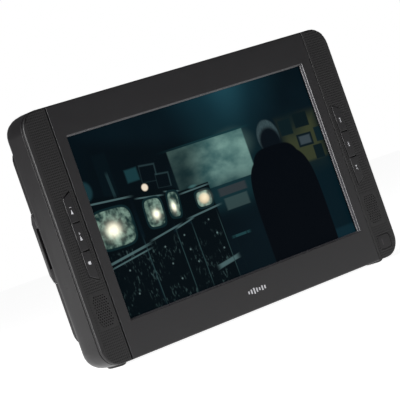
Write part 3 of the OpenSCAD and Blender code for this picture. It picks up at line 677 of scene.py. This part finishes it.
def room_picture(name, left, right):
    """What is on the screen: a dim room with old sets glowing on benches, a bright window, and a standing
    figure seen from behind. Its layout is that of the real set's picture, and its details are made up."""
    surface = Surface(name)
    ground = surface.blend(surface.noise(46, 2), linear(1, 8, 14), linear(6, 24, 32))
    scene = Picture(surface, (0, 0, SCREEN_MID_Z / MM), ground, left, right)
    paint_window_wall(scene)
    paint_papered_wall(scene)
    paint_benches(scene)
    paint_sets(scene)
    paint_figure(scene)
    # only the glass front shows the picture
    x, y, z = surface.split(scene.place)
    front = (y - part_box("lcd_panel")[0].y / MM).step(0.3, 0.1)
    lit = abs(x).step(LIT_HALF_W, LIT_HALF_W - 0.2) * abs(z).step(LIT_HALF_H, LIT_HALF_H - 0.2) * front
    black = surface.blend(surface.noise(30), (0.0005, 0.0006, 0.0008, 1), (0.001, 0.001, 0.0012, 1))
    surface.set("Base Color", black)
    surface.set("Roughness", surface.noise(20, 3).spread(0.3, 0.36))
    surface.set("Specular IOR Level", 0.02)
    surface.set("Emission Color", surface.blend(lit, (0, 0, 0, 1), scene.colour))
    surface.set("Emission Strength", 1.0)
    return surface


def make_looks():
    """One material for each of the record's slots, and the last three for single pieces."""
    looks = {
        "centre_panel": moulded("centre_panel_look", linear(22, 21, 23), 0.34, 0.4, 0.008),
        "textured_strip": dimpled_strip("textured_strip_look", linear(19, 18, 19)),
        "smoked_window": smoked_window("smoked_window_look"),
        "rear_shell": moulded("rear_shell_look", linear(21, 20, 21), 0.3, 0.5, 0.012, 0.38),
        "key_plastic": moulded("key_plastic_look", linear(19, 18, 20), 0.3, 0.3, 0.003),
        "black_plastic": moulded("black_plastic_look", linear(26, 26, 27), 0.45, 0.6, 0.02),
        "grey_plastic": moulded("grey_plastic_look", linear(120, 122, 124), 0.45, 0.6, 0.02),
        "white_plastic": moulded("white_plastic_look", linear(212, 210, 202), 0.4, 0.6, 0.02),
        "foot_rubber": rubber("foot_rubber_look", linear(26, 26, 26)),
        "foam_gasket": foam("foam_gasket_look", linear(22, 22, 22)),
        "black_screw": metal("black_screw_look", linear(52, 52, 54), 0.38, (1, 1, 1), 0.6),
        "steel_pin": metal("steel_pin_look", linear(180, 182, 186), 0.25),
        "sheet_steel": metal("sheet_steel_look", linear(168, 170, 172), 0.4),
        "display_glass": moulded("display_glass_look", linear(8, 8, 9), 0.3, 0.6, 0.001, 0.1),
        "ribbon_film": film("ribbon_film_look"),
        "circuit_board": circuit("circuit_board_look"),
        "battery_wrap": wrap("battery_wrap_look"),
        "speaker_metal": metal("speaker_metal_look", linear(96, 98, 100), 0.45, (1, 1, 1), 1.2),
        "speaker_cone": cone_paper("speaker_cone_look"),
        "lens_glass": lens("lens_glass_look"),
        "brass_shell": metal("brass_shell_look", linear(206, 176, 104), 0.3),
        # painted highlight: a lighter, glossier copy of the panel's plastic for the screen opening's rounded
        # edges and walls
        "highlight_painted_edge": moulded("opening_edge_look", linear(58, 57, 60), 0.28, 0.4, 0.0005, 0.9),
        "door_shell": moulded("door_shell_look", linear(20, 19, 20), 0.55, 0.6, 0.04, 0.15),
        "print_ink": moulded("print_ink_look", linear(186, 186, 190), 0.6, 0.3, 0.004, 0.2),
    }
    return {slot: surface.material for slot, surface in looks.items()}


def dress_cad_nodes(looks):
    for node in frame["nodes"].values():
        for slot in node.material_slots:
            slot.material = looks[slot.material.name]


# ---------------------------------------------------------------- mesh helpers


def new_piece(name, mesh, body, look):
    piece = bpy.data.objects.new(name, mesh)
    bpy.context.scene.collection.objects.link(piece)
    mesh.materials.clear()
    mesh.materials.append(look)
    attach(piece, body)
    return piece


def even_shading(piece):
    """Large flat faces keep their own normals, and the narrow faces beside them turn between them."""
    for polygon in piece.data.polygons:
        polygon.use_smooth = True
    shading = piece.modifiers.new("shading", "WEIGHTED_NORMAL")
    shading.keep_sharp = True
    shading.weight = 80


def can_round(edge, width):
    """True for a sharp outer edge with room on both sides for a rounding of this width."""
    if len(edge.link_faces) != 2 or not edge.is_convex or edge.calc_face_angle() < SHARP:
        return False
    along = (edge.verts[1].co - edge.verts[0].co).normalized()
    for vert in edge.verts:
        for other in vert.link_edges:
            if other is not edge and other.calc_length() < 2.1 * width:
                way = (other.other_vert(vert).co - vert.co).normalized()
                if abs(way.dot(along)) < 0.85:
                    return False
    return True


def refine(node, looks, width_mm, weigh=None, segments=3):
    """A copy of a CAD node with its outer edges rounded, which stands for the node. weigh(edge) may give
    an edge a share of the width, from 0 to 1."""
    source = frame["nodes"][node]
    slot = frame_slots[node]
    mesh = source.data.copy()
    mesh.name = node + "_fine"
    piece = new_piece(node + "_fine", mesh, source["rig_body"], looks[slot])
    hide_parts(node)
    work = bmesh.new()
    work.from_mesh(mesh)
    bmesh.ops.remove_doubles(work, verts=work.verts, dist=1e-6)
    bmesh.ops.dissolve_degenerate(work, edges=work.edges, dist=1e-7)
    weight = work.edges.layers.float.new("bevel_weight_edge")
    for edge in work.edges:
        share = weigh(edge) if weigh else 1.0
        rounded = share > 0 and can_round(edge, width_mm * share * MM)
        edge[weight] = share if rounded else 0.0
        if not rounded and len(edge.link_faces) == 2 and edge.calc_face_angle() > SHARP:
            edge.smooth = False
    work.to_mesh(mesh)
    work.free()
    rounding = piece.modifiers.new("rounding", "BEVEL")
    rounding.width = width_mm * MM
    rounding.segments = segments
    rounding.limit_method = "WEIGHT"
    rounding.use_clamp_overlap = False
    even_shading(piece)
    return piece


def prism(work, points, y0, y1):
    """Adds a flat shape to a bmesh; points are (x, z) in metres, anticlockwise from the front."""
    front = [work.verts.new((x, y0, z)) for x, z in points]
    back = [work.verts.new((x, y1, z)) for x, z in points]
    work.faces.new(front)
    work.faces.new(list(reversed(back)))
    for i in range(len(points)):
        j = (i + 1) % len(points)
        work.faces.new((front[j], front[i], back[i], back[j]))


def closed_loft(name, rings):
    """A frame-shaped solid: each ring is a rectangle's four corners, and the last joins the first."""
    mesh = bpy.data.meshes.new(name)
    work = bmesh.new()
    rows = [[work.verts.new(point) for point in ring] for ring in rings]
    for k, row in enumerate(rows):
        following = rows[(k + 1) % len(rows)]
        for i in range(len(row)):
            j = (i + 1) % len(row)
            work.faces.new((row[i], row[j], following[j], following[i]))
    for k, row in enumerate(rows):
        for here, there in zip(row, rows[(k + 1) % len(rows)]):
            work.edges.get((here, there)).smooth = False
    bmesh.ops.recalc_face_normals(work, faces=work.faces)
    work.to_mesh(mesh)
    work.free()
    return mesh


# ---------------------------------------------------------------- the housing


def quarter(radius, steps=3):
    """(inset, depth) points round a quarter circle, from the side wall to the face."""
    turns = [math.radians(90 * i / steps) for i in range(steps + 1)]
    return [(radius * (1 - math.cos(turn)), radius * (1 - math.sin(turn))) for turn in turns]


def add_centre_panel(looks):
    """The panel round the screen: soft outer edges, and a stepped recess with slightly rounded edges and a
    painted highlight on them.
    """
    low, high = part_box("front_bezel")
    depth = (high.y - low.y) / MM
    outer_r, edge_r, step_r = 0.9, 0.7, 0.55
    step_in, step_d = 0.6, 2.0
    recess_wall, rim_wall = 1.2, 3

    def outer(inset, seam_inset, d):
        x = high.x - seam_inset * MM
        y = low.y + d * MM
        bottom, top = low.z + inset * MM, high.z - inset * MM
        return [(-x, y, bottom), (x, y, bottom), (x, y, top), (-x, y, top)]

    def opening(grow, d):
        x, z = (OPENING_HALF_W + grow) * MM, (OPENING_HALF_H + grow) * MM
        y = low.y + d * MM
        bottom, top = SCREEN_MID_Z - z, SCREEN_MID_Z + z
        return [(-x, y, bottom), (x, y, bottom), (x, y, top), (-x, y, top)]

    rings = [outer(0, 0, RIM_D)]
    rings += [outer(inset, inset * 0.25, d) for inset, d in quarter(outer_r, 4)]
    rings += [opening(inset, d) for inset, d in reversed(quarter(edge_r))]
    rings += [opening(0, step_d)]
    rings += [opening(inset - step_in, step_d + d) for inset, d in reversed(quarter(step_r))]
    rings += [opening(-step_in, depth), opening(recess_wall, depth), opening(recess_wall, FACE_T)]
    rings += [outer(rim_wall, rim_wall, FACE_T), outer(rim_wall, rim_wall, RIM_D)]
    mesh = closed_loft("front_bezel_fine", rings)
    piece = new_piece("front_bezel_fine", mesh, "root", looks["centre_panel"])
    # the recess's rounded edges and walls are painted lighter: a painted highlight round the screen opening
    mesh.materials.append(looks["highlight_painted_edge"])
    for polygon in mesh.polygons:
        reach = max(abs(mesh.vertices[v].co.x) for v in polygon.vertices) / MM
        height = max(abs(mesh.vertices[v].co.z - SCREEN_MID_Z) for v in polygon.vertices) / MM
        if reach < OPENING_HALF_W + edge_r * 0.75 and height < OPENING_HALF_H + edge_r * 0.75:
            polygon.material_index = 1
    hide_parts("front_bezel")
    even_shading(piece)


def strip_softness(edge):
    """The strips' outer front edge is well rounded and the rest is crisp."""
    outer = all(outline_distance(vert.co) < 0.05 for vert in edge.verts)
    front = all(vert.co.y < PANEL_Y + 0.05 * MM for vert in edge.verts)
    return 1.0 if outer and front else 0.0


def outline_distance(point):
    """Millimetres from the body's rounded outline, seen from the front."""
    u = max(0.0, abs(point.x / MM) - BODY_HALF_W + BODY_RADIUS)
    v = max(0.0, abs((point.z - BODY_MID) / MM) - BODY_HALF_H + BODY_RADIUS)
    return abs(math.hypot(u, v) - BODY_RADIUS) if u or v else BODY_RADIUS


def rounded_square(half_x, half_y, steps=32):
    """Points round a square with bulged, well rounded corners."""
    power = 0.35
    points = []
    for i in range(steps):
        turn = 2 * math.pi * i / steps
        x = math.copysign(abs(math.cos(turn)) ** power, math.cos(turn)) * half_x
        y = math.copysign(abs(math.sin(turn)) ** power, math.sin(turn)) * half_y
        points.append((x, y))
    return points


def add_feet(looks):
    """Two rubber feet, domed so that they touch the table in the middle."""
    low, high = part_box("rubber_feet")
    half_w = 3.3
    half_d = (high.y - low.y) / 2 / MM
    middle_y = (low.y + high.y) / 2 / MM
    rows = ((1.0, high.z / MM), (1.0, 1.5), (0.94, 1.1), (0.8, 0.6), (0.55, 0.2), (0.25, 0.0))
    mesh = bpy.data.meshes.new("rubber_feet_fine")
    work = bmesh.new()
    for side in (-1, 1):
        middle_x = side * (high.x / MM - half_w)
        rings = []
        for share, z in rows:
            outline = rounded_square(half_w * share, half_d - half_w * (1 - share))
            rings.append([
                work.verts.new(((middle_x + x) * MM, (middle_y + y) * MM, z * MM)) for x, y in outline
            ])
        work.faces.new(rings[0])
        work.faces.new(list(reversed(rings[-1])))
        for ring, following in zip(rings, rings[1:]):
            for i in range(len(ring)):
                j = (i + 1) % len(ring)
                work.faces.new((ring[j], ring[i], following[i], following[j]))
    bmesh.ops.recalc_face_normals(work, faces=work.faces)
    work.to_mesh(mesh)
    work.free()
    piece = new_piece("rubber_feet_fine", mesh, "root", looks["foot_rubber"])
    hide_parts("rubber_feet")
    for polygon in mesh.polygons:
        polygon.use_smooth = True


# ---------------------------------------------------------------- keys, picture and printed marks


def printed(name, shapes, body, front, looks):
    """Thin raised print: shapes are lists of (x, z) in metres, on a face at front."""
    mesh = bpy.data.meshes.new(name)
    work = bmesh.new()
    for points in shapes:
        prism(work, points, front, front + PRINT_LIFT * 3 * MM)
    bmesh.ops.recalc_face_normals(work, faces=work.faces)
    work.to_mesh(mesh)
    work.free()
    new_piece(name, mesh, body, looks["print_ink"])


def bar(x, z, half_w, half_h):
    left, right, bottom, top = x - half_w, x + half_w, z - half_h, z + half_h
    return [(left, bottom), (right, bottom), (right, top), (left, top)]


def arrow(z, size, way):
    """A triangle that points down the set (way 1) or up it (way -1)."""
    half_w, half_h = size * 0.62, way * size / 2
    points = [(-half_w, z + half_h), (half_w, z + half_h), (0, z - half_h)]
    return points if way > 0 else list(reversed(points))


def key_symbols():
    """Each key's mark, turned a quarter, in millimetres round the key's middle."""
    wedge = [(-0.9, -2.4), (0.9, -2.4), (0, 0.6)]
    minus = bar(0, 2.2, 0.8, 0.14)
    return {
        "volume_down_key": [minus, wedge],
        "volume_up_key": [minus, bar(0, 2.2, 0.14, 0.8), wedge],
        "stop_key": [bar(0, 0, 1.05, 1.05)],
        "next_key": [arrow(1.2, 1.3, 1), arrow(-0.2, 1.3, 1), bar(0, -1.2, 0.8, 0.16)],
        "previous_key": [arrow(-1.2, 1.3, -1), arrow(0.2, 1.3, -1), bar(0, 1.2, 0.8, 0.16)],
        "play_key": [arrow(0.9, 1.5, 1), bar(0, -0.6, 0.8, 0.16), bar(0, -1.25, 0.8, 0.16)],
    }


def add_keys(looks):
    """Keys with soft front edges, their faces set back by the height of the print on them."""
    for node, shapes in key_symbols().items():
        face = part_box(node)[0]

        def at_face(vert, front=face.y):
            return vert.co.y < front + 0.1 * MM

        piece = refine(node, looks, 0.42, lambda edge: float(all(at_face(vert) for vert in edge.verts)))
        for vert in piece.data.vertices:
            if at_face(vert):
                vert.co.y += PRINT_LIFT * MM
        x = math.copysign(KEY_MID_X, face.x) * MM
        z = (KEY_MID_Z + KEY_ROWS[node] * KEY_PITCH) * MM
        placed = [[(x + u * MM, z + v * MM) for u, v in shape] for shape in shapes]
        printed(node + "_mark", placed, frame["nodes"][node]["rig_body"], face.y, looks)


def add_picture(looks):
    """The display's front glass, in upright parts that each show their share of the picture."""
    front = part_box("lcd_panel")[0].y
    for number, (left, right) in enumerate(zip(PICTURE_CUTS, PICTURE_CUTS[1:])):
        middle_x, half_w = (left + right) / 2 * MM, (right - left) / 2 * MM
        outline = bar(middle_x, SCREEN_MID_Z, half_w, GLASS_HALF_H * MM)
        mesh = bpy.data.meshes.new("picture_part")
        work = bmesh.new()
        prism(work, outline, front - GLASS_PROUD * MM, front + GLASS_T * MM)
        work.to_mesh(mesh)
        work.free()
        name = "picture_part_" + str(number)
        look = room_picture(name + "_look", left, right).material
        new_piece(name, mesh, "root", look)


def add_panel_mark(looks):
    """A plain level-meter mark below the screen."""
    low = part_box("front_bezel")[0]
    z = low.z + 12.6 * MM
    half_w, pitch = 0.65, 2.6
    heights = (1.0, 1.5, 2.1, 1.5, 1.0, 1.7, 1.2)
    first = -pitch * (len(heights) - 1) / 2
    places = [(first + pitch * i) * MM for i in range(len(heights))]
    shapes = [bar(x, z, half_w * MM, height * MM) for x, height in zip(places, heights)]
    printed("panel_mark", shapes, "root", low.y - PRINT_LIFT * MM, looks)


# ---------------------------------------------------------------- assembly

add_camera()
add_lights()
add_world()
add_floor()
bpy.context.scene.view_settings.view_transform = "Standard"

# the slot of each CAD node, read before the looks take the slots' places
frame_slots = {name: node.material_slots[0].material.name for name, node in frame["nodes"].items()}
looks = make_looks()
dress_cad_nodes(looks)

add_centre_panel(looks)
add_picture(looks)
add_keys(looks)
add_panel_mark(looks)
add_feet(looks)
for name in ("rear_cover", "left_strap_lug", "right_strap_lug", "open_button", "ir_window"):
    refine(name, looks, 0.3)
door = refine("disc_door", looks, 0.3)
door.material_slots[0].material = looks["door_shell"]
for name in ("left_trim_strip", "right_trim_strip"):
    refine(name, looks, 1.0, strip_softness, 4)
